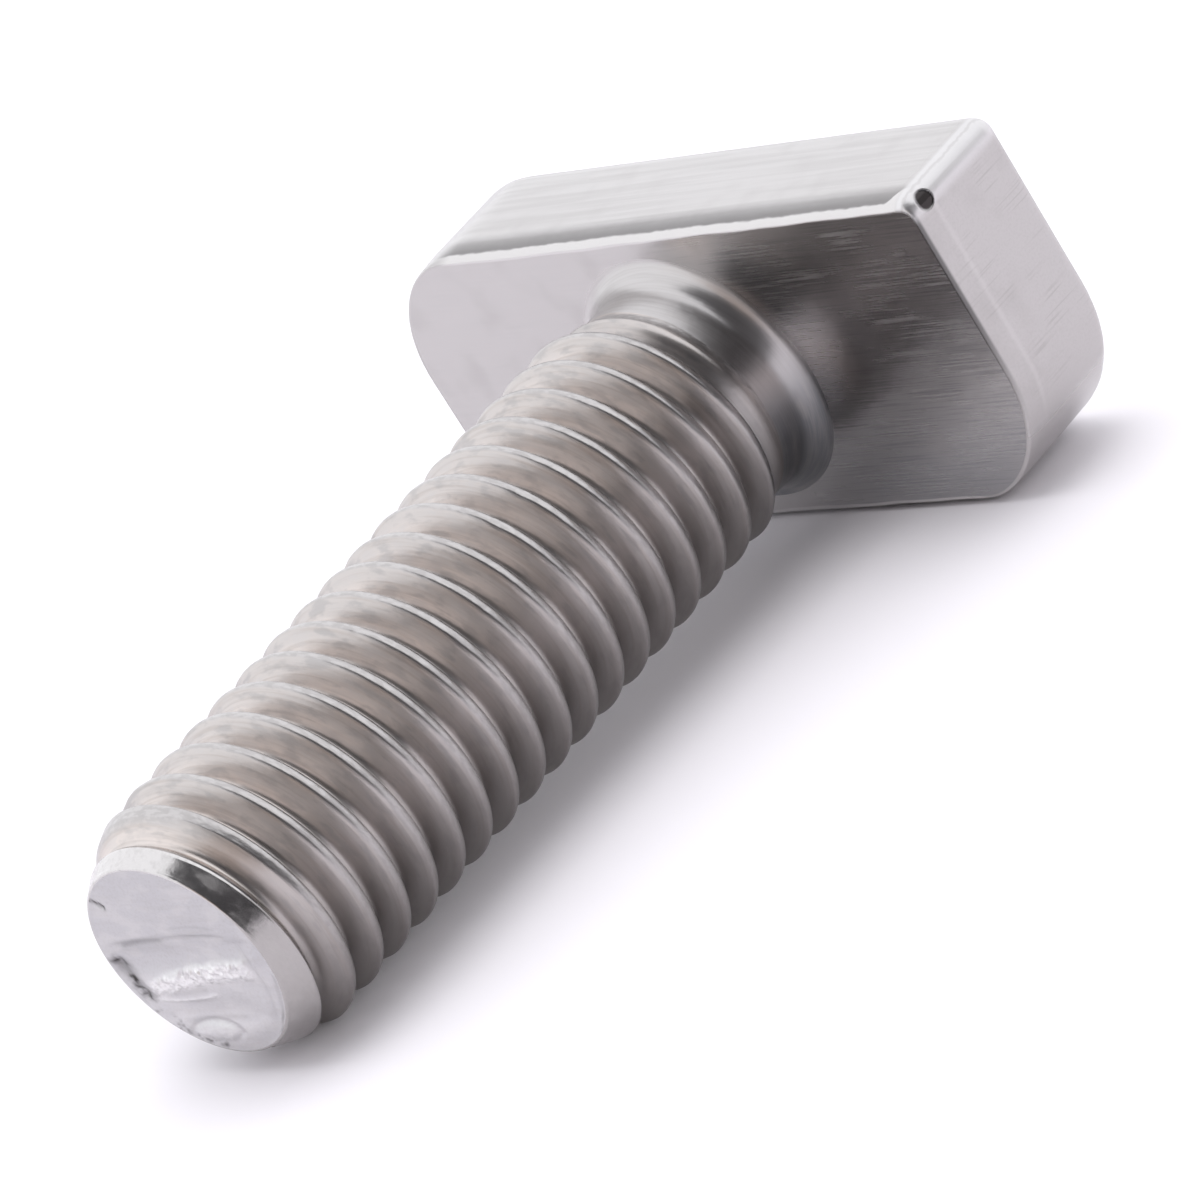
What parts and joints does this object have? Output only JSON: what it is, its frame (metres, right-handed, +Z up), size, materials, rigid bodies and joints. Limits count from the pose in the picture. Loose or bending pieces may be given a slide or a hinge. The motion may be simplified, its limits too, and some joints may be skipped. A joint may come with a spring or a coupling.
{
  "type": "t slot bolt",
  "caption": "Hammer-head T slot bolt: a threaded shank with a chamfered, cropped point on a flat rectangular head with two rounded corners, which turns and locks in a channel.",
  "frame": {"origin": "middle of the box around the bolt as it lies, on the surface it lies on", "axes": "+X from the head towards the tip, +Y along the head's long side, +Z up; the bolt's own axis dips 2.6 degrees below +X"},
  "size_m": [0.0292, 0.0228, 0.0102],
  "materials": {
    "stainless_steel": "satin, brushed on the head, smooth on the rolled thread"
  },
  "bodies": {
    "root": {"t_slot_bolt": "stainless_steel"}
  },
  "joints": []
}
